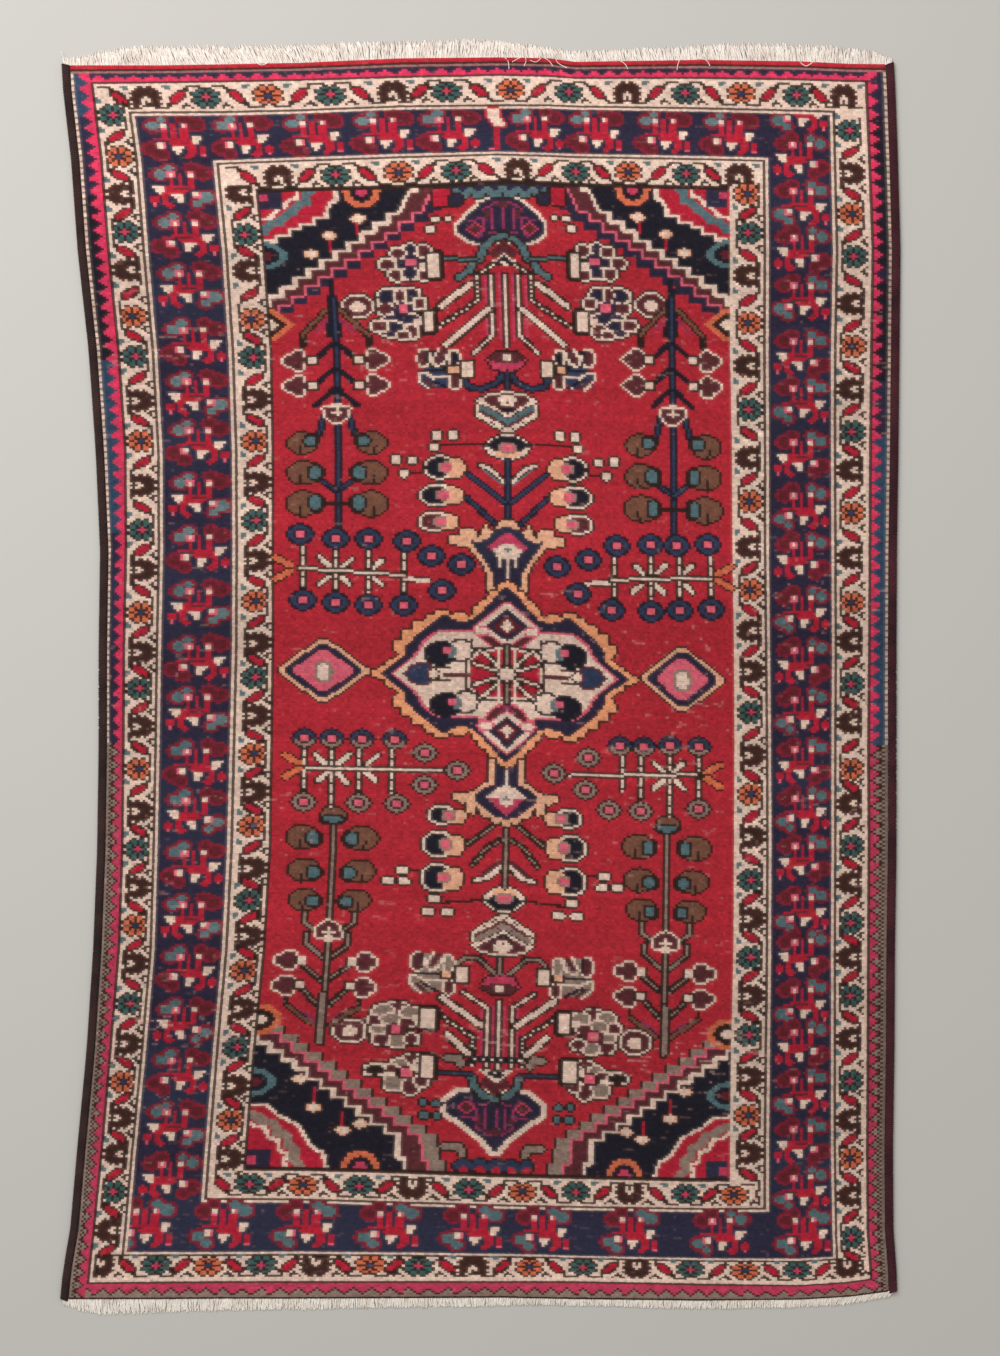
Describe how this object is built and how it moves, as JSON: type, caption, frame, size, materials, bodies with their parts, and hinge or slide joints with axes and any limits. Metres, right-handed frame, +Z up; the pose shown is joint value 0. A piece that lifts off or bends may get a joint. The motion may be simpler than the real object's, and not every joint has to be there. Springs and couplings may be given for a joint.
{
  "type": "hand-knotted village rug",
  "caption": "Flat rectangular pile rug with uneven sides, an overcast selvedge cord down each long side and a cut fringe at each end.",
  "frame": {"origin": "on the floor, under the middle of the rug's box, fringes included", "axes": "+Y along the rug to the end where the weaver finished, which is the top of the picture; +X to the right; +Z up"},
  "size_m": [1.22, 1.8497, 0.0067],
  "materials": {
    "pile": "worn wool pile, red field with navy and ivory borders",
    "selvedge": "dark brown overcast wool",
    "fringe": "undyed matt cotton"
  },
  "bodies": {
    "root": {"rug_body": "pile", "selvedge_left": "selvedge", "selvedge_right": "selvedge", "fringe_finish": "fringe", "fringe_start": "fringe"}
  },
  "joints": []
}
